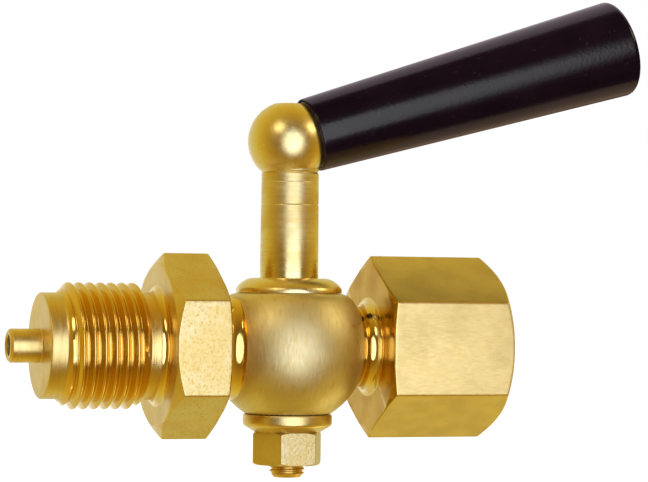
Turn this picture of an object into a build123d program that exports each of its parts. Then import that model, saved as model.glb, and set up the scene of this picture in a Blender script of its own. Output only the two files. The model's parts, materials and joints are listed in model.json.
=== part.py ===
from build123d import *
import os
from math import cos, radians, sin, sqrt, tan

# Pressure gauge cock: a brass body with a taper plug, turned by a lever.
# Millimetres. The flow runs along +X, from the spigot to the gauge socket, and the plug stands along +Z.
# The origin is the centre of the spigot's sealing face, at the foot of the centring pin.

# Pipe thread G 1/2, drawn as the plain cylinder over its crests
thread_dia = 20.955
thread_core_dia = 18.631
hex_flats = 27.0

# Spigot, from the pin's tip to the collar
pin_dia = 5.6
pin_length = 5.3
pin_chamfer = 0.4
inlet_bore = 3.5
relief_dia = 17.5
relief_length = 2.8
relief_fillet = 0.8
thread_length = 13.9
thread_end_chamfer = 1.0
undercut_dia = 17.8
undercut_length = 3.0
undercut_fillet = 2.0

# Hexagon collar and hexagon socket; the cuts are how far a chamfer goes in from the corners
collar_width = 9.3
socket_width = 21.7
outer_corner_cut = 2.2
outer_chamfer_angle = 30.0
inner_corner_cut = 2.0
inner_chamfer_angle = 12.0

# Gauge socket
socket_depth = 17.0
socket_mouth_dia = 21.6
gauge_pin_hole_dia = 6.5
gauge_pin_hole_depth = 3.5
outlet_bore = 4.5

# Ball that houses the plug, with a neck at either side and a spot face above and below
ball_dia = 26.8
collar_to_ball = 0.5
ball_to_socket = 0.8
collar_neck_dia = 16.8
socket_neck_dia = 13.6
neck_ball_fillet = 0.6
neck_hexagon_fillet = 1.6
top_cap = 4.4
bottom_cap = 2.1
spot_face_overlap = 1.0
rim_round = 0.8

# Taper plug, pulled down into its seat by the nut
seat_top_dia = 14.4
seat_taper = 1 / 6
seat_clearance = 0.05
port_dia = 4.5
plug_recess = 0.4
collar_gap = 0.08
plug_collar_dia = 17.9
plug_collar_height = 2.47
plug_collar_foot_chamfer = 0.2
plug_collar_wall = 0.67
plug_collar_edge_width = 2.65
plug_collar_edge_bulge = 0.37

# Stem and ball head
stem_foot_dia = 9.9
stem_top_dia = 9.6
stem_length = 23.1
head_dia = 13.6
head_offset = 0.45
head_flat_cap = 0.4

# Washer, keyed to the plug by two flats, and nut
washer_gap = 0.1
washer_dia = 15.1
washer_thickness = 2.9
washer_chamfer_width = 1.8
washer_chamfer_height = 1.1
key_dia = 8.0
key_flats = 6.4
key_clearance = 0.05
key_short = 0.6
plug_thread_dia = 6.0
plug_thread_chamfer = 0.8
plug_thread_proud = 2.1
nut_flats = 10.7
nut_height = 5.6
nut_corner_cut = 0.7
nut_chamfer_angle = 30.0
nut_turn = 3.0
thread_clearance = 0.05

# Lever grip on its stud
lever_angle = 16.6
grip_spot_cap = 2.8
grip_length = 60.0
grip_small_dia = 12.6
grip_large_dia = 17.0
grip_small_round = 0.4
grip_large_round = 1.0
stud_dia = 6.0
stud_in_head = 7.0
stud_in_grip = 18.0
stud_end_chamfer = 0.6
hole_end_room = 0.5

# Places worked out from the sizes
thread_start = relief_length
thread_end = thread_start + thread_length
collar_start = thread_end + undercut_length
collar_end = collar_start + collar_width
valve_x = collar_end + collar_to_ball + ball_dia / 2
socket_start = valve_x + ball_dia / 2 + ball_to_socket
socket_end = socket_start + socket_width
socket_floor = socket_end - socket_depth
body_top = ball_dia / 2 - top_cap
body_bottom = bottom_cap - ball_dia / 2
plug_foot = body_bottom + plug_recess
plug_collar_start = body_top + collar_gap
plug_collar_end = plug_collar_start + plug_collar_height
head_z = plug_collar_end + stem_length
grip_seat = head_dia / 2 - grip_spot_cap
washer_top = body_bottom - washer_gap
washer_bottom = washer_top - washer_thickness
key_end = washer_bottom + key_short
nut_bottom = washer_bottom - nut_height
plug_end = nut_bottom - plug_thread_proud

# Frames: the plug stands on the flow axis, and the lever leaves the middle of the ball head
plug_plane = Plane(origin=(valve_x, 0, 0))
lever_plane = Plane(
    origin=(valve_x - head_offset, 0, head_z),
    x_dir=(0, 1, 0),
    z_dir=(cos(radians(lever_angle)), 0, sin(radians(lever_angle))),
)


def turned_along_x(points):
    """Solid turned about the flow axis from an outline of (x, radius) points."""
    return revolve(make_face(Polyline(*points, close=True)), Axis.X)


def turned_along_z(points):
    """Solid turned about the local Z axis from an outline of (radius, z) points."""
    return revolve(Plane.XZ * make_face(Polyline(*points, close=True)), Axis.Z)


def bar_along_x(start, end, diameter):
    """Round bar about the flow axis."""
    return turned_along_x([(start, 0), (start, diameter / 2), (end, diameter / 2), (end, 0)])


def bar_along_z(start, end, diameter):
    """Round bar about the local Z axis."""
    return turned_along_z([(0, start), (diameter / 2, start), (diameter / 2, end), (0, end)])


def hexagon_bar(flats, length, start_chamfer, end_chamfer):
    """Hexagon bar along local Z, its corners chamfered at both ends by a (cut, angle) each."""
    corner = flats / sqrt(3)
    start_cut, start_angle = start_chamfer
    end_cut, end_angle = end_chamfer
    beyond = corner + start_cut + end_cut
    envelope = turned_along_z([
        (0, 0),
        (corner - start_cut, 0),
        (beyond, (beyond - corner + start_cut) * tan(radians(start_angle))),
        (beyond, length - (beyond - corner + end_cut) * tan(radians(end_angle))),
        (corner - end_cut, length),
        (0, length),
    ])
    return extrude(RegularPolygon(corner, 6), length) & envelope


def hexagon_on_flow_axis(start, width, start_chamfer, end_chamfer):
    """Spanner hexagon of the body, with a corner straight up."""
    plane = Plane(origin=(start, 0, 0), x_dir=(0, 0, 1), z_dir=(1, 0, 0))
    return plane * hexagon_bar(hex_flats, width, start_chamfer, end_chamfer)


def seat_radius(z):
    """Radius of the taper seat at a height above the flow axis."""
    return seat_top_dia / 2 - (body_top - z) * seat_taper / 2


def neck_reach(neck):
    """How far from the plug's axis a neck of this diameter meets the ball."""
    return sqrt((ball_dia / 2) ** 2 - (neck / 2) ** 2)


def spot_face_dia(z):
    """Width of the cutter that leaves a flat on the ball at a height, and reaches a little past it."""
    return 2 * sqrt((ball_dia / 2) ** 2 - z ** 2) + 2 * spot_face_overlap


def rounded_in(solid, diameter, place, radius):
    """Fillets the round edge of one diameter about the flow axis, at a place along it."""
    near = 1e-4
    edges = solid.edges().filter_by(GeomType.CIRCLE)
    edges = edges.filter_by(lambda edge: abs(edge.radius - diameter / 2) < near)
    edges = edges.filter_by(lambda edge: abs(edge.arc_center.X - place) < near)
    return fillet(edges, radius)


def spigot():
    """Centring pin, relief, thread and undercut, up to the collar."""
    crest = thread_dia / 2
    relief = relief_dia / 2
    undercut = undercut_dia / 2
    return turned_along_x([
        (-pin_length, 0),
        (-pin_length, pin_dia / 2 - pin_chamfer),
        (pin_chamfer - pin_length, pin_dia / 2),
        (0, pin_dia / 2),
        (0, relief),
        (thread_start, relief),
        (thread_start + crest - relief, crest),
        (thread_end - thread_end_chamfer, crest),
        (thread_end, undercut),
        (collar_start, undercut),
        (collar_start, 0),
    ])


def flow_passage():
    """Everything bored along the flow axis, from the pin's tip to the socket's mouth."""
    mouth_chamfer = (socket_mouth_dia - thread_core_dia) / 2
    pin_hole_floor = socket_floor - gauge_pin_hole_depth
    inlet = bar_along_x(-2 * pin_length, valve_x, inlet_bore)
    outlet = bar_along_x(valve_x, socket_floor, outlet_bore)
    pin_hole = bar_along_x(pin_hole_floor, socket_floor, gauge_pin_hole_dia)
    tapped_hole = turned_along_x([
        (socket_floor, 0),
        (socket_floor, thread_core_dia / 2),
        (socket_end - mouth_chamfer, thread_core_dia / 2),
        (socket_end, socket_mouth_dia / 2),
        (socket_end + mouth_chamfer, socket_mouth_dia / 2),
        (socket_end + mouth_chamfer, 0),
    ])
    return inlet + outlet + pin_hole + tapped_hole


def plug_seat():
    """Taper hole through the ball."""
    low = -ball_dia
    high = ball_dia
    return plug_plane * turned_along_z([
        (0, low),
        (seat_radius(low), low),
        (seat_radius(high), high),
        (0, high),
    ])


def rim_rounding():
    """Ring to cut away, so that the ball's rim at the upper spot face is rounded."""
    reach = ball_dia / 2 - rim_round
    middle = body_top - rim_round
    flat = sqrt(reach ** 2 - middle ** 2)
    foot = flat * ball_dia / 2 / reach
    foot_z = middle * ball_dia / 2 / reach
    corner = Polyline((flat, body_top), (foot, body_top), (foot, foot_z))
    rounding = RadiusArc((foot, foot_z), (flat, body_top), -rim_round)
    return plug_plane * revolve(Plane.XZ * make_face(corner + rounding), Axis.Z)


def valve_body():
    """The one-piece brass body."""
    outer_chamfer = (outer_corner_cut, outer_chamfer_angle)
    inner_chamfer = (inner_corner_cut, inner_chamfer_angle)
    body = spigot()
    body += hexagon_on_flow_axis(collar_start, collar_width, outer_chamfer, inner_chamfer)
    body += hexagon_on_flow_axis(socket_start, socket_width, inner_chamfer, outer_chamfer)
    body += bar_along_x(collar_end, valve_x, collar_neck_dia)
    body += bar_along_x(valve_x, socket_start, socket_neck_dia)
    body += plug_plane * Sphere(ball_dia / 2)
    body = rounded_in(body, collar_neck_dia, valve_x - neck_reach(collar_neck_dia), neck_ball_fillet)
    body = rounded_in(body, socket_neck_dia, valve_x + neck_reach(socket_neck_dia), neck_ball_fillet)
    body = rounded_in(body, collar_neck_dia, collar_end, neck_hexagon_fillet)
    body = rounded_in(body, socket_neck_dia, socket_start, neck_hexagon_fillet)
    body = rounded_in(body, undercut_dia, collar_start, undercut_fillet)
    body = rounded_in(body, relief_dia, thread_start, relief_fillet)
    body -= plug_plane * bar_along_z(body_top, ball_dia, spot_face_dia(body_top))
    body -= plug_plane * bar_along_z(-ball_dia, body_bottom, spot_face_dia(body_bottom))
    body -= rim_rounding()
    body -= plug_seat()
    return body - flow_passage()


def plug_outline():
    """Half section of the turned plug, from its threaded end up into the ball head."""
    thread = plug_thread_dia / 2
    key = key_dia / 2
    foot = seat_radius(plug_foot) - seat_clearance
    shoulder = seat_radius(plug_collar_start) - seat_clearance
    collar = plug_collar_dia / 2
    edge_start = (collar, plug_collar_start + plug_collar_wall)
    edge_end = (collar - plug_collar_edge_width, plug_collar_end)
    below = Polyline(
        (0, head_z),
        (0, plug_end),
        (thread - plug_thread_chamfer, plug_end),
        (thread, plug_end + plug_thread_chamfer),
        (thread, key_end),
        (key, key_end),
        (key, plug_foot),
        (foot, plug_foot),
        (shoulder, plug_collar_start),
        (collar - plug_collar_foot_chamfer, plug_collar_start),
        (collar, plug_collar_start + plug_collar_foot_chamfer),
        edge_start,
    )
    rounded_edge = SagittaArc(edge_start, edge_end, -plug_collar_edge_bulge)
    above = Polyline(
        edge_end,
        (stem_foot_dia / 2, plug_collar_end),
        (stem_top_dia / 2, head_z),
        (0, head_z),
    )
    return make_face(below + rounded_edge + above)


def key_bar(clearance, start, end):
    """Round bar with two flats, the shape that keeps the washer from turning on the plug."""
    bar = bar_along_z(start, end, key_dia + 2 * clearance)
    slab = Box(2 * key_dia, key_flats + 2 * clearance, 4 * (end - start))
    return bar & Pos(0, 0, (start + end) / 2) * slab


def plug():
    """Taper plug, collar, stem and ball head, turned in one piece."""
    turned = revolve(Plane.XZ * plug_outline(), Axis.Z)
    key_ring = bar_along_z(key_end, plug_foot, key_dia)
    turned -= key_ring - key_bar(0, key_end, plug_foot)
    turned = plug_plane * turned
    turned += Pos(valve_x - head_offset, 0, head_z) * Sphere(head_dia / 2)
    turned -= Pos(valve_x - head_offset, 0, 0) * bar_along_z(
        head_z + head_dia / 2 - head_flat_cap, head_z + head_dia, head_dia)
    turned -= lever_plane * bar_along_z(grip_seat, grip_seat + head_dia, head_dia)
    stud_hole_floor = grip_seat - stud_in_head - hole_end_room
    turned -= lever_plane * bar_along_z(stud_hole_floor, grip_seat, stud_dia + 2 * thread_clearance)
    return turned - bar_along_x(valve_x - ball_dia / 2, valve_x + ball_dia / 2, port_dia)


def washer():
    """Thick washer under the body, chamfered below, with a keyed hole."""
    rim = washer_dia / 2
    disc = turned_along_z([
        (0, washer_bottom),
        (rim - washer_chamfer_width, washer_bottom),
        (rim, washer_bottom + washer_chamfer_height),
        (rim, washer_top),
        (0, washer_top),
    ])
    return plug_plane * (disc - key_bar(key_clearance, washer_bottom, washer_top))


def nut():
    """Hexagon nut on the plug's threaded end."""
    chamfer = (nut_corner_cut, nut_chamfer_angle)
    bar = hexagon_bar(nut_flats, nut_height, chamfer, chamfer)
    bar -= bar_along_z(0, nut_height, plug_thread_dia + 2 * thread_clearance)
    return plug_plane * Pos(0, 0, nut_bottom) * Rot(0, 0, nut_turn) * bar


def handle_stud():
    """Threaded stud that holds the grip on the ball head."""
    start = grip_seat - stud_in_head
    end = grip_seat + stud_in_grip
    radius = stud_dia / 2
    return lever_plane * turned_along_z([
        (0, start),
        (radius - stud_end_chamfer, start),
        (radius, start + stud_end_chamfer),
        (radius, end - stud_end_chamfer),
        (radius - stud_end_chamfer, end),
        (0, end),
    ])


def handle_grip():
    """Tapered moulded grip with a blind hole for the stud."""
    end = grip_seat + grip_length
    cone = turned_along_z([
        (0, grip_seat),
        (grip_small_dia / 2, grip_seat),
        (grip_large_dia / 2, end),
        (0, end),
    ])
    rims = cone.edges().filter_by(GeomType.CIRCLE).sort_by(Axis.Z)
    cone = fillet(rims[-1], grip_large_round)
    rims = cone.edges().filter_by(GeomType.CIRCLE).sort_by(Axis.Z)
    cone = fillet(rims[0], grip_small_round)
    hole_end = grip_seat + stud_in_grip + hole_end_room
    return lever_plane * (cone - bar_along_z(grip_seat, hole_end, stud_dia + 2 * thread_clearance))


pieces = {
    "valve_body": valve_body,
    "plug": plug,
    "washer": washer,
    "nut": nut,
    "handle_stud": handle_stud,
    "handle_grip": handle_grip,
}

os.makedirs("parts", exist_ok=True)
for name, make_piece in pieces.items():
    export_step(make_piece(), f"parts/{name}.step")
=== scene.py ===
"""Brass taper-plug gauge cock with a black lever grip, in a white studio."""
import json
from math import asin, atan2, ceil, cos, degrees, pi, radians, sin, sqrt, tan

import bmesh
import bpy
import numpy as np
from mathutils import Matrix, Vector


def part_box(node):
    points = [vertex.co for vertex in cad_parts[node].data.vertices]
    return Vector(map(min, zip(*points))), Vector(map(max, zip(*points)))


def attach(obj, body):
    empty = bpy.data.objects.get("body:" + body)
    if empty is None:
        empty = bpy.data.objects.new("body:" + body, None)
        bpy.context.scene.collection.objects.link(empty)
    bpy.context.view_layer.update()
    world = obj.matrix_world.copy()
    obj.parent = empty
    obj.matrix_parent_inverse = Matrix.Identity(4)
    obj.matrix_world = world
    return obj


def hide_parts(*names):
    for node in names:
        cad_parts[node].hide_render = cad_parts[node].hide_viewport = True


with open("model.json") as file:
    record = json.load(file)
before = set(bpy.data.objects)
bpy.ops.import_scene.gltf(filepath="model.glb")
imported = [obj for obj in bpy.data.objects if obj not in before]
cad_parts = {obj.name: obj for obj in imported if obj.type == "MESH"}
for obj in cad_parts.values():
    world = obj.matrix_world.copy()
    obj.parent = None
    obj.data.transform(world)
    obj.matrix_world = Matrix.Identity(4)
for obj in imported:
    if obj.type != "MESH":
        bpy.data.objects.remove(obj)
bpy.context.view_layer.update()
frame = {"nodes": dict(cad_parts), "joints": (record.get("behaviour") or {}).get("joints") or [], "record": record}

# Sizes are in millimetres, and MM turns them into the scene's metres
MM = 0.001


def node_box(node):
    """Lowest and highest corner of a CAD node, in millimetres."""
    return [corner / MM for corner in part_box(node)]


# Sizes that the frame gives
mounts = {mount["name"]: mount for mount in frame["record"]["mounts"]}
body_low, body_high = node_box("valve_body")
washer_low, washer_high = node_box("washer")
nut_low, nut_high = node_box("nut")
plug_end = node_box("plug")[0].z
valve_x = frame["joints"][0]["pos_m"][0] / MM
hex_apothem = body_high.y
pin_tip = body_low.x
socket_end = body_high.x
spigot_crest = mounts["spigot_thread"]["dims"]["r_mm"]
pin_radius = mounts["centring_pin"]["dims"]["r_mm"]
socket_core = mounts["gauge_socket"]["dims"]["r_mm"]

# Spigot
pin_chamfer = 0.4
pin_edge_round = 0.12
pin_foot_fillet = 0.2
inlet_radius = 1.75
inlet_break = 0.25
relief_radius = 8.75
relief_round = 0.3
relief_fillet = 0.8
thread_start = 2.8
thread_end = 16.7
thread_end_chamfer = 1.0
undercut_radius = 8.9
undercut_fillet = 1.2
collar_start = 19.7
collar_end = 29.0

# Pipe thread: 55 degree flanks, with the rounding and the depth as shares of the pitch
pipe_pitch = 1.814
pipe_flank = 27.5
pipe_round_share = 0.137329
pipe_depth_share = 0.640327
spigot_thread_turn = -0.15
socket_thread_turn = 0.3

# Spanner hexagons
hex_corners = 6
hex_edge_round = 0.55
hex_end_round = 0.22
hex_side_inset = 0.3
outer_corner_cut = 2.2
outer_chamfer_angle = 30
inner_corner_cut = 2.0
inner_chamfer_angle = 12

# Ball and necks
ball_radius = 13.4
collar_neck_radius = 8.4
collar_neck_ball_fillet = 2.4
collar_neck_hexagon_fillet = 2.2
socket_neck_radius = 6.8
socket_neck_ball_fillet = 1.7
socket_neck_hexagon_fillet = 1.6
ball_top = 9.0
ball_bottom = -11.3
spot_face_reach = 11.5
rim_round = 3.0

# Gauge socket
socket_start = 57.1
socket_floor = 61.8
socket_mouth_radius = 10.8
gauge_pin_hole_radius = 3.25
gauge_pin_hole_depth = 3.5
outlet_radius = 2.25
thread_runout = 2.5

# Taper plug and its seat
seat_top_radius = 7.2
seat_slope = 1 / 12
seat_clearance = 0.05
plug_foot = -10.9
port_radius = 2.25
plug_collar_start = 9.03
plug_collar_end = 11.55
plug_collar_radius = 8.95
plug_collar_foot_chamfer = 0.08
plug_collar_wall = 0.67
plug_collar_edge_width = 2.65
plug_collar_edge_bulge = 0.37
stem_foot_radius = 4.95
stem_top_radius = 4.8
head_radius = 6.8
head_offset = 0.45
head_z = 34.65
head_flat_cap = 0.4

# Turned rings on the stem: height, depth and width of each groove
stem_rings = [(23.95, 0.10, 0.35), (27.80, 0.05, 0.30), (29.45, 0.22, 0.55)]

# Washer, nut and the plug's threaded end, with the thread's flats as shares of the pitch
key_radius = 4.0
key_half_flats = 3.2
key_clearance = 0.05
key_end = -13.7
washer_chamfer_width = 1.8
washer_chamfer_height = 1.1
washer_edge_round = 0.25
washer_wall_round = 0.7
nut_turn = 3.0
nut_corner_cut = 0.7
nut_chamfer_angle = 30
nut_edge_round = 0.12
screw_radius = 3.0
screw_pitch = 0.75
screw_depth = 0.41
screw_chamfer = 0.8
screw_crest_flat = 1 / 8
screw_root_flat = 1 / 4
thread_clearance = 0.05

# Lever
lever_angle = 16.6
grip_seat = 4.0
grip_length = 60.0
grip_small_radius = 6.3
grip_large_radius = 8.5
grip_small_round = 0.4
grip_large_round = 1.0
stud_radius = 3.0
stud_in_head = 7.0
stud_in_grip = 18.0
hole_end_room = 0.5

# Places of the three axes that the pieces are turned about
flow_axis = Matrix(((0, 0, 1, 0), (0, -1, 0, 0), (1, 0, 0, 0), (0, 0, 0, 1)))
plug_axis = Matrix.Translation((valve_x * MM, 0, 0))
lever_axis = (
    Matrix.Translation(((valve_x - head_offset) * MM, 0, head_z * MM))
    @ Matrix.Rotation(radians(90 - lever_angle), 4, "Y")
)

# Fineness of the meshes, with angles in degrees and the weld in metres
rounding_step = 18
corner_offsets = (0.4, 0.8, 1.2)
chamfer_rows = 3
edge_rows = 5
pole_gap = 2
laps_before_start = 2
weld_distance = 1e-7
sharp_angle = 32

# Cutting tools
tool_reach = 20
tool_overlap = 0.001

# Photograph's camera, in millimetres
camera_place = Vector((-99.18, -426.82, 10.99))
camera_right = Vector((0.94450, -0.32830, 0.01181))
camera_up = Vector((-0.01620, -0.01064, 0.99981))
camera_back = camera_right.cross(camera_up)
camera_lens = 147.78
sensor_width = 36.0

# Studio: floor, world, warm reflector and the lamps' distance and tints
floor_height = -36
floor_reach = 6000
floor_grey = (0.8, 0.8, 0.8, 1)
floor_lift = (0.25, 0.50)
floor_lift_distance = (60, 170)
world_level = 0.75
card_radius = 1500
card_opening = 163
card_azimuth = 13
card_elevation = 4
lamp_distance = 800
cool_light = (0.90, 0.96, 1.0)
warm_light = (1.0, 0.88, 0.52)
amber_light = (1.0, 0.68, 0.45)
violet_light = (1.0, 0.84, 0.93)

# Tones of the reflector, from the backdrop's side at 0 to the camera's side at 1
card_tones = [
    (0.02, (0.95, 0.92, 0.82)),
    (0.06, (0.72, 0.66, 0.40)),
    (0.14, (0.70, 0.63, 0.29)),
    (0.24, (0.72, 0.57, 0.11)),
    (0.50, (0.57, 0.36, 0.022)),
    (0.72, (0.40, 0.24, 0.03)),
    (0.90, (0.19, 0.115, 0.02)),
    (1.00, (0.10, 0.065, 0.013)),
]

# Brass tones
pale_brass = (0.88, 0.79, 0.50)
warm_brass = (0.88, 0.70, 0.34)
light_brass = (0.79, 0.70, 0.45)
sand_brass = (0.76, 0.60, 0.28)
deep_brass = (0.84, 0.60, 0.21)
orange_brass = (0.82, 0.56, 0.15)
speck_brass = (0.76, 0.55, 0.15)
# Darker tones that paint the shade on the hexagons' end faces towards the ball
shaded_honey_brass = (0.66, 0.42, 0.05)
shaded_amber_brass = (0.55, 0.30, 0.01)
# Pale tone on sharp brass edges: partly polish from handling, partly a painted highlight
worn_edge_highlight = (0.98, 0.88, 0.60)

# Brass patches and specks: scale of the noise, and the part of it that they take up
patch_scale = 180
patch_range = (0.38, 0.62)
speck_scale = 2500
speck_detail = 2.0
speck_range = (0.56, 0.66)

# Wear on edges, with a painted highlight on brass: the pointedness that they start and end at, and their share of
# the tone
wear_and_highlight_range = (0.52, 0.64)
wear_and_highlight_share = 0.5

# Share of brass's roughness that is left on worn edges and on a bright foot
worn_roughness = 0.7
foot_roughness = 0.45

# Black phenolic: tones, scales of its noises, dust, roughness and mould grain
deep_black = (0.007, 0.002, 0.005)
soft_black = (0.012, 0.004, 0.008)
black_cloud_scale = 120
dust_grey = (0.05, 0.045, 0.05)
dust_scale = 1400
dust_detail = 2.0
dust_share = 0.25
dust_range = (0.66, 0.76)
rubbed_grey = (0.05, 0.045, 0.045)
rubbing_scale = 500
grip_roughness = (0.16, 0.26)
mould_grain_scale = 1800
mould_grain_depth = 0.02

# Stud steel: tones, scales of its noises and roughness
dark_steel = (0.48, 0.48, 0.49)
light_steel = (0.62, 0.62, 0.63)
steel_cloud_scale = 300
steel_grain_scale = 2500
steel_grain_depth = 0.01
steel_roughness = (0.25, 0.4)

# Stretch of surface marks, small the way they are drawn out: round the axis, along it, or neither
round_marks = (0.05, 0.05, 1)
swept_marks = (0.2, 0.2, 1)
long_marks = (1, 1, 0.04)
drawn_marks = (1, 1, 0.2)
even_marks = (1, 1, 1)


def ring(steps, corners=0, offsets=()):
    """Angles once round an axis, with extra ones on both sides of each hexagon corner."""
    angles = set(np.linspace(0, 360, steps + 1))
    for corner in range(corners + 1):
        for offset in offsets:
            angles.add(corner * 360 / corners + offset)
            angles.add(corner * 360 / corners - offset)
    inside = [angle for angle in sorted(angles) if 0 <= angle <= 360]
    return np.radians(inside)


def arc(centre, radius, start, end, steps):
    """Rows on an arc about a (radius, height) centre; 0 degrees is away from the axis, 90 along it."""
    turns = np.radians(np.linspace(start, end, steps + 1))
    return [(centre[0] + radius * cos(turn), centre[1] + radius * sin(turn)) for turn in turns]


def heading(vector):
    """Angle of a (radius, height) vector, in degrees."""
    return degrees(atan2(vector.y, vector.x))


def outline(*points):
    """Rows along straight lines through (radius, height) points; a third number rounds that corner."""
    rows = []
    for index, point in enumerate(points):
        corner = Vector(point[:2])
        if len(point) == 2:
            rows.append(tuple(corner))
            continue
        before = (Vector(points[index - 1][:2]) - corner).normalized()
        after = (Vector(points[index + 1][:2]) - corner).normalized()
        half = before.angle(after) / 2
        middle = corner + (before + after).normalized() * point[2] / sin(half)
        first = corner + before * point[2] / tan(half) - middle
        last = corner + after * point[2] / tan(half) - middle
        steps = max(2, ceil(degrees(first.angle(last)) / rounding_step))
        start = heading(first)
        sweep = (heading(last) - start + 180) % 360 - 180
        rows += arc(middle, point[2], start, start + sweep, steps)
    return rows


def hexagon_radius(angles, apothem, edge_round):
    """Distance from the axis to a hexagon with rounded edges, corner first."""
    turn = np.abs(np.mod(angles, pi / 3) - pi / 6)
    core = apothem - edge_round
    reach = core * tan(pi / 6)
    along = core * np.cos(turn) + reach * np.sin(turn)
    rounded = along + np.sqrt(np.maximum(along ** 2 - core ** 2 - reach ** 2 + edge_round ** 2, 0))
    flat = apothem / np.cos(turn)
    return np.where(flat * np.sin(turn) <= reach, flat, rounded)


def hexagon_end(side, face, inward, corner_cut, chamfer_angle, edge_round, apothem):
    """Rows from a hexagon bar's end face, over its chamfered corners, to its side."""
    tilt = radians(chamfer_angle)
    cone = apothem / cos(pi / 6) - corner_cut
    face_centre = np.minimum(cone - edge_round * tan(tilt / 2), side - edge_round)
    side_depth = np.maximum((side - cone) * tan(tilt) + edge_round * tan(pi / 4 - tilt / 2), edge_round)
    rows = []
    for turn in np.linspace(0, tilt, chamfer_rows):
        rows.append((face_centre + edge_round * sin(turn), face + inward * edge_round * (1 - cos(turn))))
    for turn in np.linspace(tilt, pi / 2, edge_rows):
        radius = side - edge_round * (1 - sin(turn))
        rows.append((radius, face + inward * (side_depth - edge_round * cos(turn))))
    rows.append((side, face + inward * (side_depth + hex_side_inset)))
    return rows


def pipe_thread_profile(crest, steps):
    """Whitworth thread over one pitch, as (share of the pitch, radius), from crest to crest."""
    sweep = np.linspace(0, pi / 2 - radians(pipe_flank), steps + 1)
    rounding = pipe_round_share * pipe_pitch
    depth = pipe_depth_share * pipe_pitch
    rows = []
    for turn in sweep:
        rows.append((rounding * sin(turn) / pipe_pitch, crest - rounding * (1 - cos(turn))))
    for turn in sweep[::-1]:
        share = 0.5 - rounding * sin(turn) / pipe_pitch
        rows.append((share, crest - depth + rounding * (1 - cos(turn))))
    mirrored = [(1 - share, radius) for share, radius in rows[-2:0:-1]]
    return rows + mirrored


def screw_thread_profile():
    """Metric thread over one pitch, with a flat crest and root."""
    root_radius = screw_radius - screw_depth
    crest = screw_crest_flat / 2
    root = screw_root_flat / 2
    return [
        (0, screw_radius),
        (crest, screw_radius),
        (0.5 - root, root_radius),
        (0.5 + root, root_radius),
        (1 - crest, screw_radius),
    ]


def thread_rows(angles, start, end, pitch, profile, turn, trim):
    """Rows of a right-hand thread between two heights; trim(radius, height) gives it its ends."""
    rows = []
    for lap in range(-laps_before_start, ceil((end - start) / pitch) + 1):
        for share, radius in profile:
            height = np.clip(start + (lap + share + turn + angles / (2 * pi)) * pitch, start, end)
            rows.append((trim(radius, height), height))
    return rows


def scene_object(name, data):
    """New object in the scene."""
    made = bpy.data.objects.new(name, data)
    bpy.context.scene.collection.objects.link(made)
    return made


def mesh_of(name, work):
    """New mesh from a bmesh, which is freed."""
    mesh = bpy.data.meshes.new(name)
    work.to_mesh(mesh)
    work.free()
    return mesh


def spun(name, strips, angles, place, materials):
    """Closed piece of rows of points round an axis; the faces up to a row take its strip's material."""
    rows = []
    zones = []
    for zone, strip in strips:
        rows += strip
        zones += [zone] * len(strip)
    radius = np.array([np.broadcast_to(row[0], angles.shape) for row in rows])
    height = np.array([np.broadcast_to(row[1], angles.shape) for row in rows])
    points = np.stack([radius * np.cos(angles), radius * np.sin(angles), height], axis=-1) * MM
    index = np.arange(radius.size).reshape(radius.shape)
    index = np.vstack([index, index[:1]])
    corners = [index[:-1, :-1], index[:-1, 1:], index[1:, 1:], index[1:, :-1]]
    mesh = bpy.data.meshes.new(name)
    mesh.from_pydata(points.reshape(-1, 3), [], np.stack(corners, axis=-1).reshape(-1, 4))
    for material in materials:
        mesh.materials.append(material)
    face_zones = np.repeat(zones[1:] + zones[:1], len(angles) - 1)
    mesh.polygons.foreach_set("material_index", face_zones.astype(np.int32))
    work = bmesh.new()
    work.from_mesh(mesh)
    bmesh.ops.remove_doubles(work, verts=work.verts, dist=weld_distance)
    loose = [edge for edge in work.edges if not edge.link_faces]
    bmesh.ops.delete(work, geom=loose, context="EDGES")
    bmesh.ops.recalc_face_normals(work, faces=work.faces)
    work.to_mesh(mesh)
    work.free()
    piece = scene_object(name, mesh)
    piece.matrix_world = place
    return piece


def combine(piece, tool, operation="DIFFERENCE"):
    """Cuts the tool out of the piece, or joins it on, and throws the tool away."""
    modifier = piece.modifiers.new("combine", "BOOLEAN")
    modifier.object = tool
    modifier.operation = operation
    modifier.solver = "EXACT"
    bpy.context.view_layer.update()
    evaluated = piece.evaluated_get(bpy.context.evaluated_depsgraph_get())
    result = bpy.data.meshes.new_from_object(evaluated)
    piece.modifiers.remove(modifier)
    piece.data = result
    bpy.data.objects.remove(tool)


def block(name, low, high, place):
    """Plain box that serves as a cutting tool."""
    middle = (Vector(low) + Vector(high)) / 2
    size = Vector(high) - Vector(low)
    work = bmesh.new()
    bmesh.ops.create_cube(work, size=1, matrix=Matrix.LocRotScale(middle * MM, None, size * MM))
    tool = scene_object(name, mesh_of(name, work))
    tool.matrix_world = place
    return tool


brass_pieces = bpy.data.collections.new("brass_pieces")
grip_pieces = bpy.data.collections.new("grip_pieces")


def dress(piece, node, body, slot):
    """Smooth shading with crisp edges, and the piece's place in the part."""
    mesh = piece.data
    mesh.polygons.foreach_set("use_smooth", [True] * len(mesh.polygons))
    mesh.set_sharp_from_angle(angle=radians(sharp_angle))
    normals = piece.modifiers.new("face_weighted_normals", "WEIGHTED_NORMAL")
    normals.keep_sharp = True
    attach(piece, body)
    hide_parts(node)
    family = brass_pieces if slot.endswith("_brass") else grip_pieces
    family.objects.link(piece)


def shader_node(tree, kind, inputs=None, **settings):
    """New shader node, with its settings and with values or links on its inputs."""
    made = tree.nodes.new(kind)
    for key, value in settings.items():
        setattr(made, key, value)
    for key, value in (inputs or {}).items():
        if isinstance(value, bpy.types.NodeSocket):
            tree.links.new(value, made.inputs[key])
        else:
            made.inputs[key].default_value = value
    return made


def own_place(tree):
    """Place of a point in the piece's own coordinates."""
    return shader_node(tree, "ShaderNodeTexCoord").outputs["Object"]


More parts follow.
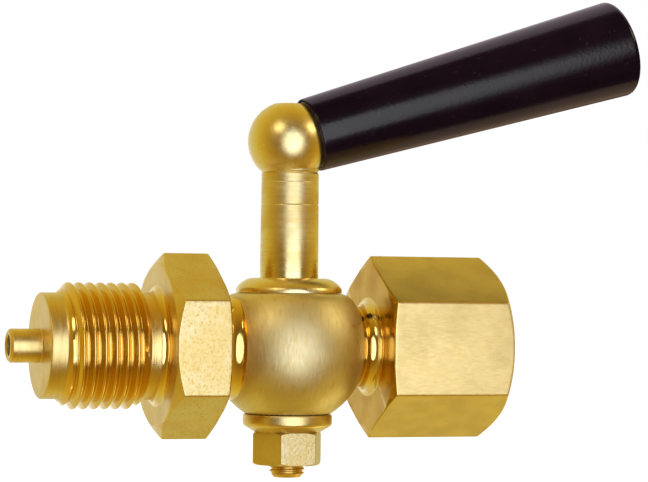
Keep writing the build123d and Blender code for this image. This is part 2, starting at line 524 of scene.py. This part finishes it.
def own_height(tree):
    """Height of a point along the piece's own axis."""
    return shader_node(tree, "ShaderNodeSeparateXYZ", {"Vector": own_place(tree)}).outputs["Z"]


def noise(tree, stretch, scale, detail=3.0):
    """Noise in the piece's own coordinates, drawn out along an axis where stretch is small."""
    stretched = shader_node(tree, "ShaderNodeMapping", {"Vector": own_place(tree), "Scale": stretch})
    texture = shader_node(tree, "ShaderNodeTexNoise", {
        "Vector": stretched.outputs["Vector"],
        "Scale": scale,
        "Detail": detail,
    })
    return texture.outputs["Fac"]


def spread(tree, value, low, high, start=0.3, end=0.7):
    """Moves the middle of a noise, or another stretch of a value, onto a range of values."""
    made = shader_node(tree, "ShaderNodeMapRange", {
        "Value": value,
        "From Min": start,
        "From Max": end,
        "To Min": low,
        "To Max": high,
    })
    return made.outputs["Result"]


# Places of the colours among the inputs and outputs of a colour mix
mix_low = 6
mix_high = 7
mix_result = 2


def mixed(tree, share, low, high):
    """Colour between two others; each is an output or a plain colour."""
    mix = shader_node(tree, "ShaderNodeMix", {0: share}, data_type="RGBA")
    for socket, colour in ((mix_low, low), (mix_high, high)):
        if isinstance(colour, bpy.types.NodeSocket):
            tree.links.new(colour, mix.inputs[socket])
        else:
            mix.inputs[socket].default_value = (*colour, 1)
    return mix.outputs[mix_result]


def times(tree, value, factor):
    """Product of two outputs, or of an output and a number."""
    return shader_node(tree, "ShaderNodeMath", {0: value, 1: factor}, operation="MULTIPLY").outputs[0]


def worn_and_highlit_edges(tree):
    """How far a point lies on a sharp outer edge, where handling has polished the surface; on brass its paler tone
    is partly a painted highlight.
    """
    pointed = shader_node(tree, "ShaderNodeNewGeometry").outputs["Pointiness"]
    return spread(tree, pointed, 0, 1, *wear_and_highlight_range)


def bumped(tree, marks):
    """Surface normal with layers of fine marks of (stretch, scale, depth in mm)."""
    normal = None
    for stretch, scale, depth in marks:
        inputs = {"Height": noise(tree, stretch, scale), "Strength": 1.0, "Distance": depth * MM}
        if normal:
            inputs["Normal"] = normal
        normal = shader_node(tree, "ShaderNodeBump", inputs).outputs["Normal"]
    return normal


def blank_material(name):
    """New material, with its node tree and its shader."""
    material = bpy.data.materials.new(name)
    material.use_nodes = True
    return material, material.node_tree, material.node_tree.nodes["Principled BSDF"]


def cleared_tree(owner):
    """Emptied node tree of a material or of the world."""
    owner.use_nodes = True
    owner.node_tree.nodes.clear()
    return owner.node_tree


def brass(name, low, high, rough, marks, specks, bright_foot=None):
    """Brass with patches of two tones, deeper specks, fine surface marks and polished edges, whose paler tone is
    partly a painted highlight.
    """
    material, tree, shader = blank_material(name)
    shader.inputs["Metallic"].default_value = 1.0
    stretch, scale = marks[0][:2]
    patches = spread(tree, noise(tree, even_marks, patch_scale), 0, 1, *patch_range)
    tone = mixed(tree, patches, low, high)
    spots = spread(tree, noise(tree, stretch, speck_scale, speck_detail), 0, specks, *speck_range)
    tone = mixed(tree, spots, tone, speck_brass)
    polish_and_highlight = worn_and_highlit_edges(tree)
    # Paler tone on sharp edges: partly wear, partly a painted highlight
    tone = mixed(tree, times(tree, polish_and_highlight, wear_and_highlight_share), tone, worn_edge_highlight)
    tree.links.new(tone, shader.inputs["Base Color"])
    grain = spread(tree, noise(tree, stretch, scale), *rough)
    smooth = times(tree, grain, spread(tree, polish_and_highlight, 1.0, worn_roughness, 0, 1))
    if bright_foot:
        low_end, high_end = bright_foot
        foot = spread(tree, own_height(tree), foot_roughness, 1.0, low_end * MM, high_end * MM)
        smooth = times(tree, smooth, foot)
    tree.links.new(smooth, shader.inputs["Roughness"])
    tree.links.new(bumped(tree, marks), shader.inputs["Normal"])
    return material


# Brass finishes: tones, range of roughness, layers of marks, share of specks, ends of a bright foot
turned_brass = brass(
    "turned_brass", sand_brass, warm_brass, (0.30, 0.46), [(round_marks, 3000, 0.02)], 0.6)
coarse_brass = brass(
    "coarse_brass", deep_brass, warm_brass, (0.28, 0.40), [(round_marks, 1600, 0.12)], 0.3)
thread_brass = brass(
    "thread_brass", orange_brass, deep_brass, (0.14, 0.24), [(round_marks, 3000, 0.01)], 0.3)
polished_brass = brass(
    "polished_brass", deep_brass, warm_brass, (0.08, 0.16), [(round_marks, 3000, 0.01)], 0.3)
# Hexagons' end faces towards the ball: a darker copy of brass, painted shade of the recess between hexagon and
# ball
shaded_face_brass = brass(
    "shaded_face_brass", shaded_amber_brass, shaded_honey_brass, (0.16, 0.28), [(round_marks, 3000, 0.02)], 0.3)
collar_brass = brass(
    "collar_brass", sand_brass, light_brass, (0.34, 0.46), [(even_marks, 2500, 0.015)], 0.9)
socket_brass = brass(
    "socket_brass", sand_brass, warm_brass, (0.32, 0.42), [(drawn_marks, 3500, 0.015)], 0.25)
blasted_brass = brass(
    "blasted_brass", light_brass, pale_brass, (0.46, 0.56), [(swept_marks, 3000, 0.03)], 0.35)
bore_brass = brass(
    "bore_brass", warm_brass, pale_brass, (0.30, 0.45), [(round_marks, 3000, 0.02)], 0.3)
stem_brass = brass(
    "stem_brass", sand_brass, pale_brass, (0.36, 0.50),
    [(round_marks, 4000, 0.004), (even_marks, 2500, 0.008)], 0.4, (10, 20))
washer_face_brass = brass(
    "washer_face_brass", warm_brass, pale_brass, (0.30, 0.42), [(round_marks, 4000, 0.006)], 0.3)
head_brass = brass(
    "head_brass", warm_brass, pale_brass, (0.28, 0.38), [(even_marks, 1500, 0.015)], 0.35)
screw_brass = brass(
    "screw_brass", speck_brass, deep_brass, (0.36, 0.50), [(round_marks, 3000, 0.01)], 0.3)
milled_brass = brass(
    "milled_brass", sand_brass, light_brass, (0.30, 0.44), [(even_marks, 2500, 0.02)], 0.3)


def black_phenolic():
    """Moulded black grip, half gloss, with a faint purple cast and fine mould grain."""
    material, tree, shader = blank_material("black_phenolic")
    cloud = spread(tree, noise(tree, even_marks, black_cloud_scale), 0, 1)
    tone = mixed(tree, cloud, deep_black, soft_black)
    dust = spread(tree, noise(tree, even_marks, dust_scale, dust_detail), 0, dust_share, *dust_range)
    tone = mixed(tree, dust, tone, dust_grey)
    tone = mixed(tree, times(tree, worn_and_highlit_edges(tree), wear_and_highlight_share), tone, rubbed_grey)
    tree.links.new(tone, shader.inputs["Base Color"])
    rubbed = spread(tree, noise(tree, long_marks, rubbing_scale), *grip_roughness)
    tree.links.new(rubbed, shader.inputs["Roughness"])
    marks = [(even_marks, mould_grain_scale, mould_grain_depth)]
    tree.links.new(bumped(tree, marks), shader.inputs["Normal"])
    return material


def stud_steel():
    """Plain steel with a fine even grain."""
    material, tree, shader = blank_material("stud_steel")
    shader.inputs["Metallic"].default_value = 1.0
    cloud = spread(tree, noise(tree, even_marks, steel_cloud_scale), 0, 1)
    tree.links.new(mixed(tree, cloud, dark_steel, light_steel), shader.inputs["Base Color"])
    grain = spread(tree, noise(tree, even_marks, steel_grain_scale), *steel_roughness)
    tree.links.new(grain, shader.inputs["Roughness"])
    marks = [(even_marks, steel_grain_scale, steel_grain_depth)]
    tree.links.new(bumped(tree, marks), shader.inputs["Normal"])
    return material


def pin_and_relief():
    """Rows from the inlet's edge over the centring pin and the relief to the start of the thread."""
    return outline(
        (inlet_radius, pin_tip + inlet_break),
        (inlet_radius + inlet_break, pin_tip),
        (pin_radius - pin_chamfer, pin_tip, pin_edge_round),
        (pin_radius, pin_tip + pin_chamfer, pin_edge_round),
        (pin_radius, 0, pin_foot_fillet),
        (relief_radius, 0, relief_round),
        (relief_radius, thread_start, relief_fillet),
        (spigot_crest, thread_start + spigot_crest - relief_radius),
    )[:-1]


def spigot_thread(angles):
    """Rows of the spigot's thread, between the relief's cone and the chamfer at the undercut."""
    relief_end = thread_start + relief_fillet * tan(pi / 8) * sin(pi / 4)
    chamfer_slope = (spigot_crest - undercut_radius) / thread_end_chamfer

    def trim(radius, height):
        front = relief_radius + height - thread_start
        back = undercut_radius + (thread_end - height) * chamfer_slope
        return np.minimum(np.minimum(radius, front), back)

    profile = pipe_thread_profile(spigot_crest, steps=3)
    return thread_rows(angles, relief_end, thread_end, pipe_pitch, profile, spigot_thread_turn, trim)


def undercut():
    """Rows of the undercut behind the thread, and of its fillet at the collar."""
    fillet_start = collar_start - undercut_fillet
    groove = [(undercut_radius, thread_end), (undercut_radius, fillet_start)]
    middle = (undercut_radius + undercut_fillet, fillet_start)
    fillet = arc(middle, undercut_fillet, 180, 90, steps=8)[1:]
    return groove, fillet


def neck(radius, face, hexagon_fillet, ball_fillet, sign):
    """Rows of a neck from a hexagon's end face to the ball (sign -1: before the ball, 1: after it)."""
    bend = sqrt((ball_radius + ball_fillet) ** 2 - (radius + ball_fillet) ** 2)
    lean = degrees(atan2(bend, radius + ball_fillet))
    hexagon_middle = (radius + hexagon_fillet, face - sign * hexagon_fillet)
    ball_middle = (radius + ball_fillet, valve_x + sign * bend)
    rows = arc(hexagon_middle, hexagon_fillet, sign * 90, sign * 180, steps=8)
    rows += arc(ball_middle, ball_fillet, sign * 180, sign * (180 + lean), steps=6)[:-1]
    return rows, lean


def socket_thread(angles):
    """Rows of the gauge socket's thread, from its mouth inward."""
    def trim(radius, height):
        fade = np.clip((height - socket_floor) / thread_runout, 0, 1)
        mouth = socket_mouth_radius - (socket_end - height)
        return np.maximum(socket_core + (radius - socket_core) * fade, mouth)

    profile = pipe_thread_profile(spigot_crest, steps=2)
    rows = thread_rows(angles, socket_floor, socket_end, pipe_pitch, profile, socket_thread_turn, trim)
    return [(socket_mouth_radius, socket_end)] + rows[::-1]


def passage():
    """Rows of the bores from the socket's floor to the inlet's edge."""
    pin_hole_floor = socket_floor - gauge_pin_hole_depth
    return outline(
        (socket_core, socket_floor),
        (gauge_pin_hole_radius, socket_floor),
        (gauge_pin_hole_radius, pin_hole_floor),
        (outlet_radius, pin_hole_floor),
        (outlet_radius, valve_x),
        (inlet_radius, valve_x),
        (inlet_radius, pin_tip + inlet_break),
    )


def seat_tool(materials, turned, blasted):
    """Cutter for the taper seat, the spot faces above and below the ball and its rounded upper rim."""
    beyond = 2 * ball_radius
    reach = ball_radius - rim_round
    middle = ball_top - rim_round
    flat = sqrt(reach ** 2 - middle ** 2)
    foot = degrees(atan2(middle, flat))
    rim = arc((flat, middle), rim_round, foot, 90, steps=10)
    above = [(0, beyond), (spot_face_reach, beyond), (spot_face_reach, ball_top), (rim[0][0], ball_top)]
    below = [
        (seat_top_radius, ball_top),
        (seat_top_radius - (ball_top - ball_bottom) * seat_slope, ball_bottom),
        (spot_face_reach, ball_bottom),
        (spot_face_reach, -beyond),
        (0, -beyond),
    ]
    strips = [(turned, above), (blasted, rim), (turned, below)]
    return spun("seat_tool", strips, ring(steps=128), plug_axis, materials)


def valve_body():
    """Spigot, collar, ball and socket, with the thread cut on the spigot and in the socket."""
    turned, coarse, threaded, polished, shaded_faces, collar_side, blasted, socket_side, bored = range(9)
    materials = [
        turned_brass, coarse_brass, thread_brass, polished_brass, shaded_face_brass,
        collar_brass, blasted_brass, socket_brass, bore_brass,
    ]
    angles = ring(steps=216, corners=hex_corners, offsets=corner_offsets)
    side = hexagon_radius(angles, hex_apothem, hex_edge_round)
    outer = (outer_corner_cut, outer_chamfer_angle, hex_end_round, hex_apothem)
    inner = (inner_corner_cut, inner_chamfer_angle, hex_end_round, hex_apothem)
    collar_front = hexagon_end(side, collar_start, 1, *outer)
    collar_back = hexagon_end(side, collar_end, -1, *inner)[::-1]
    socket_front = hexagon_end(side, socket_start, 1, *inner)
    socket_back = hexagon_end(side, socket_end, -1, *outer)[::-1]
    groove, groove_fillet = undercut()
    neck_in, lean_in = neck(
        collar_neck_radius, collar_end, collar_neck_hexagon_fillet, collar_neck_ball_fillet, -1)
    neck_out, lean_out = neck(
        socket_neck_radius, socket_start, socket_neck_hexagon_fillet, socket_neck_ball_fillet, 1)
    ball = arc((0, valve_x), ball_radius, -lean_in, lean_out, steps=72)
    side_rows = 2
    strips = [
        (turned, pin_and_relief()),
        (threaded, spigot_thread(angles)),
        (coarse, groove),
        (polished, groove_fillet),
        (turned, collar_front[:-side_rows]),
        (collar_side, collar_front[-side_rows:] + collar_back[:side_rows]),
        (shaded_faces, collar_back[side_rows:] + neck_in[:1]),
        (polished, neck_in[1:]),
        (blasted, ball),
        (polished, neck_out[::-1]),
        (shaded_faces, socket_front[:-side_rows]),
        (socket_side, socket_front[-side_rows:] + socket_back[:side_rows]),
        (turned, socket_back[side_rows:]),
        (threaded, socket_thread(angles)),
        (bored, passage()),
    ]
    body = spun("valve_body_brass", strips, angles, flow_axis, materials)
    combine(body, seat_tool(materials, turned, blasted))
    dress(body, "valve_body", "housing", "body_brass")


def taper_radius(height):
    """Radius of the plug's taper, which clears its seat."""
    return seat_top_radius - (ball_top - height) * seat_slope - seat_clearance


def stem_radius(height):
    """Radius of the stem, which narrows from the collar to the head."""
    share = (height - plug_collar_end) / (head_z - plug_collar_end)
    return stem_foot_radius + (stem_top_radius - stem_foot_radius) * share


def plug_screw(angles):
    """Rows of the plug's threaded end, from its tip to the key."""
    def trim(radius, height):
        tip = screw_radius - screw_chamfer + height - plug_end
        runout = screw_radius - screw_depth + key_end - height
        return np.minimum(np.minimum(radius, tip), runout)

    rows = thread_rows(angles, plug_end, key_end, screw_pitch, screw_thread_profile(), 0, trim)
    return [(0, plug_end)] + rows


def plug_taper():
    """Rows of the key, the taper and the collar's foot."""
    return outline(
        (screw_radius - screw_depth, key_end),
        (key_radius, key_end),
        (key_radius, plug_foot),
        (taper_radius(plug_foot), plug_foot),
        (taper_radius(plug_collar_start), plug_collar_start),
        (plug_collar_radius - plug_collar_foot_chamfer, plug_collar_start),
        (plug_collar_radius, plug_collar_start + plug_collar_foot_chamfer),
    )


def plug_collar():
    """Rows over the collar's bulged edge to the foot of the stem."""
    start = Vector((plug_collar_radius, plug_collar_start + plug_collar_wall))
    end = Vector((plug_collar_radius - plug_collar_edge_width, plug_collar_end))
    chord = end - start
    half = chord.length / 2
    bulge = plug_collar_edge_bulge
    radius = half * half / (2 * bulge) + bulge / 2
    across = Vector((chord.y, -chord.x)).normalized()
    centre = (start + end) / 2 - across * (radius - bulge)
    rows = arc(centre, radius, heading(start - centre), heading(end - centre), steps=10)
    return rows + [(stem_radius(plug_collar_end), plug_collar_end)]


def plug_stem():
    """Rows up the stem with its turned rings, into the middle of the head."""
    rows = []
    for height, depth, width in stem_rings:
        rows.append((stem_radius(height - width / 2), height - width / 2))
        rows.append((stem_radius(height) - depth, height))
        rows.append((stem_radius(height + width / 2), height + width / 2))
    return rows + [(stem_radius(head_z), head_z), (0, head_z)]


def plug_head(zone, materials):
    """Ball head with a flat top, a seat for the grip and the stud's hole."""
    hole = stud_radius + thread_clearance
    hole_floor = grip_seat - stud_in_head - hole_end_room
    seat_edge = sqrt(head_radius ** 2 - grip_seat ** 2)
    seat_turn = degrees(asin(grip_seat / head_radius))
    rows = [(0, -head_radius)]
    rows += arc((0, 0), head_radius, -90 + pole_gap, seat_turn, steps=48)
    rows += outline((seat_edge, grip_seat), (hole, grip_seat), (hole, hole_floor), (0, hole_floor))
    head = spun("head_tool", [(zone, rows)], ring(steps=96), lever_axis, materials)
    top = head_radius - head_flat_cap
    low = (-tool_reach, -tool_reach, head_z + top)
    high = (tool_reach, tool_reach, head_z + tool_reach)
    combine(head, block("flat_tool", low, high, plug_axis))
    return head


def port_tool(zone, materials):
    """Cutter for the plug's cross port."""
    rows = outline(
        (0, -ball_radius), (port_radius, -ball_radius), (port_radius, ball_radius), (0, ball_radius))
    return spun("port_tool", [(zone, rows)], ring(steps=48), plug_axis @ flow_axis, materials)


def key_tool(sign):
    """Cutter for one of the two flats that the washer is keyed on."""
    near, far = sorted((sign * key_half_flats, sign * 2 * key_radius))
    low = (-tool_reach, near, key_end - tool_overlap)
    high = (tool_reach, far, plug_foot)
    return block("key_tool", low, high, plug_axis)


def plug():
    """Taper plug with its threaded end, collar, stem and ball head."""
    stem_zone, head_zone, screw_zone = range(3)
    materials = [stem_brass, head_brass, screw_brass]
    angles = ring(steps=128)
    strips = [
        (screw_zone, plug_screw(angles)),
        (stem_zone, plug_taper()),
        (head_zone, plug_collar()),
        (stem_zone, plug_stem()),
    ]
    body = spun("plug_brass", strips, angles, plug_axis, materials)
    combine(body, plug_head(head_zone, materials), "UNION")
    combine(body, port_tool(stem_zone, materials))
    for sign in (-1, 1):
        combine(body, key_tool(sign))
    dress(body, "plug", "plug_and_lever", "plug_brass")


def washer():
    """Thick washer with a keyed hole and a chamfered lower edge."""
    angles = ring(steps=180)
    radius = (washer_high.x - washer_low.x) / 2
    flat = key_half_flats + key_clearance
    hole = flat / np.maximum(np.abs(np.sin(angles)), flat / (key_radius + key_clearance))
    rows = [(hole, washer_high.z), (hole, washer_low.z)]
    rows += outline(
        (radius - 2 * washer_chamfer_width, washer_low.z),
        (radius - washer_chamfer_width, washer_low.z, washer_edge_round),
        (radius, washer_low.z + washer_chamfer_height, washer_wall_round),
        (radius, washer_high.z, washer_edge_round),
        (radius - 2 * washer_chamfer_width, washer_high.z),
    )
    piece = spun("washer_brass", [(0, rows)], angles, plug_axis, [washer_face_brass])
    dress(piece, "washer", "plug_and_lever", "washer_brass")


def nut():
    """Hexagon nut with chamfered corners."""
    angles = ring(steps=144, corners=hex_corners, offsets=corner_offsets[:2])
    corner_radius = (nut_high.x - nut_low.x) / 2 / cos(radians(nut_turn))
    apothem = corner_radius * cos(pi / 6)
    side = hexagon_radius(angles, apothem, nut_edge_round)
    hole = screw_radius + thread_clearance
    chamfer = (nut_corner_cut, nut_chamfer_angle, nut_edge_round, apothem)
    bottom = hexagon_end(side, nut_low.z, 1, *chamfer)
    top = hexagon_end(side, nut_high.z, -1, *chamfer)[::-1]
    rows = [(hole, nut_high.z), (hole, nut_low.z)] + bottom + top
    turned = plug_axis @ Matrix.Rotation(radians(nut_turn), 4, "Z")
    piece = spun("nut_brass", [(0, rows)], angles, turned, [milled_brass])
    dress(piece, "nut", "plug_and_lever", "nut_brass")


def handle_grip():
    """Black tapered grip with a blind hole for the stud."""
    end = grip_seat + grip_length
    hole = stud_radius + thread_clearance
    hole_floor = grip_seat + stud_in_grip + hole_end_room
    rows = outline(
        (0, hole_floor),
        (hole, hole_floor),
        (hole, grip_seat),
        (grip_small_radius, grip_seat, grip_small_round),
        (grip_large_radius, end, grip_large_round),
        (0, end),
    )
    piece = spun("handle_grip_black", [(0, rows)], ring(steps=128), lever_axis, [black_phenolic()])
    dress(piece, "handle_grip", "plug_and_lever", "grip_black")


def handle_stud():
    """Steel on the hidden stud, which keeps its own shape."""
    stud = frame["nodes"]["handle_stud"]
    stud.data.materials.clear()
    stud.data.materials.append(stud_steel())


def studio_direction(azimuth, elevation):
    """Direction seen from the object: azimuth to the right of the camera, elevation above it."""
    turn = radians(azimuth)
    rise = radians(elevation)
    level = camera_right * sin(turn) + camera_back * cos(turn)
    return level * cos(rise) + camera_up * sin(rise)


def softbox(name, azimuth, elevation, width, height, strength, tint, lit=None):
    """Soft lamp that faces the valve and lights everything, or only the pieces given."""
    lamp = bpy.data.lights.new(name, "AREA")
    lamp.shape = "ELLIPSE"
    lamp.size = width * MM
    lamp.size_y = height * MM
    lamp.energy = strength * pi * lamp.size * lamp.size_y
    lamp.color = tint
    box = scene_object(name, lamp)
    away = studio_direction(azimuth, elevation)
    box.location = (Vector((valve_x, 0, 0)) + away * lamp_distance) * MM
    box.rotation_euler = away.to_track_quat("Z", "Y").to_euler()
    box.visible_camera = False
    box.light_linking.receiver_collection = lit


def warm_card():
    """Glow of the reflector: brown behind the camera, paler towards the white backdrop."""
    material = bpy.data.materials.new("warm_card")
    tree = cleared_tree(material)
    share = spread(tree, own_height(tree), 0, 1, -card_radius * MM, card_radius * MM)
    ramp = shader_node(tree, "ShaderNodeValToRGB", {"Fac": share})
    # The ramp's own two stops make way, the second after the new ones, because one must stay
    stops = ramp.color_ramp.elements
    stops.remove(stops[1])
    for position, colour in card_tones:
        stops.new(position).color = (*colour, 1)
    stops.remove(stops[0])
    glow = shader_node(tree, "ShaderNodeEmission", {"Color": ramp.outputs["Color"]})
    shader_node(tree, "ShaderNodeOutputMaterial", {"Surface": glow.outputs["Emission"]})
    return material


def card_dome():
    """Warm reflector round the camera's side, seen only in the metal."""
    work = bmesh.new()
    bmesh.ops.create_uvsphere(work, u_segments=48, v_segments=24, radius=card_radius * MM)
    edge = card_radius * MM * cos(radians(card_opening))
    away = [face for face in work.faces if face.calc_center_median().z < edge]
    bmesh.ops.delete(work, geom=away, context="FACES")
    mesh = mesh_of("card_dome", work)
    mesh.materials.append(warm_card())
    dome = scene_object("card_dome", mesh)
    dome.location = (valve_x * MM, 0, 0)
    axis = studio_direction(card_azimuth, card_elevation)
    dome.rotation_euler = axis.to_track_quat("Z", "Y").to_euler()
    for ray in ("camera", "diffuse", "transmission", "volume_scatter", "shadow"):
        setattr(dome, f"visible_{ray}", False)
    dome.light_linking.receiver_collection = brass_pieces


def pale_floor():
    """Matte pale floor, lifted to white for the camera, more so away from the valve."""
    material = bpy.data.materials.new("pale_floor")
    tree = cleared_tree(material)
    seen = shader_node(tree, "ShaderNodeLightPath").outputs["Is Camera Ray"]
    distance = shader_node(tree, "ShaderNodeVectorMath", {0: own_place(tree)}, operation="LENGTH")
    near, far = floor_lift_distance
    lift = spread(tree, distance.outputs["Value"], *floor_lift, near * MM, far * MM)
    matte = shader_node(tree, "ShaderNodeBsdfDiffuse", {"Color": floor_grey})
    glow = shader_node(tree, "ShaderNodeEmission", {"Strength": times(tree, lift, seen)})
    both = shader_node(tree, "ShaderNodeAddShader", {0: matte.outputs[0], 1: glow.outputs[0]})
    shader_node(tree, "ShaderNodeOutputMaterial", {"Surface": both.outputs[0]})
    return material


def floor():
    """Pale table under the valve, which keeps its shadow."""
    work = bmesh.new()
    bmesh.ops.create_grid(work, x_segments=1, y_segments=1, size=floor_reach * MM)
    mesh = mesh_of("floor", work)
    mesh.materials.append(pale_floor())
    table = scene_object("floor", mesh)
    table.location = (valve_x * MM, 0, floor_height * MM)
    table.visible_glossy = False


def white_world():
    """White round the valve for what is seen and mirrored, softer for what is lit."""
    world = bpy.data.worlds.new("studio")
    tree = cleared_tree(world)
    rays = shader_node(tree, "ShaderNodeLightPath").outputs
    seen = rays["Is Camera Ray"]
    for kind in ("Is Glossy Ray", "Is Transmission Ray"):
        either = shader_node(tree, "ShaderNodeMath", {0: seen, 1: rays[kind]}, operation="MAXIMUM")
        seen = either.outputs[0]
    level = spread(tree, seen, world_level, 1.0, 0, 1)
    light = shader_node(tree, "ShaderNodeBackground", {"Color": (1, 1, 1, 1), "Strength": level})
    shader_node(tree, "ShaderNodeOutputWorld", {"Surface": light.outputs["Background"]})
    bpy.context.scene.world = world


def photograph_camera():
    """Camera at the photograph's place."""
    lens = bpy.data.cameras.new("camera")
    lens.lens = camera_lens
    lens.sensor_width = sensor_width
    lens.sensor_fit = "HORIZONTAL"
    camera = scene_object("camera", lens)
    turn = Matrix((camera_right, camera_up, camera_back)).transposed()
    camera.matrix_world = Matrix.Translation(camera_place * MM) @ turn.to_4x4()
    bpy.context.scene.camera = camera


valve_body()
plug()
washer()
nut()
handle_grip()
handle_stud()

photograph_camera()
white_world()
floor()
card_dome()

# Lamps: azimuth and elevation, width and height, strength, tint and the only pieces that a lamp lights
softbox("key_softbox", 17, -3, 880, 1030, 1.52, cool_light)
softbox("upper_left_softbox", -29, 40, 310, 310, 2.4, warm_light)
softbox("right_softbox", 83, 32, 310, 310, 2.4, warm_light)
softbox("lower_right_softbox", 128, -47, 320, 320, 1.0, warm_light, brass_pieces)
softbox("upper_rim_light", 180, 46, 1550, 1000, 0.55, violet_light, grip_pieces)
softbox("lower_rim_light", 180, -52, 1550, 1330, 0.40, amber_light, grip_pieces)
bpy.context.scene.view_settings.view_transform = "Standard"
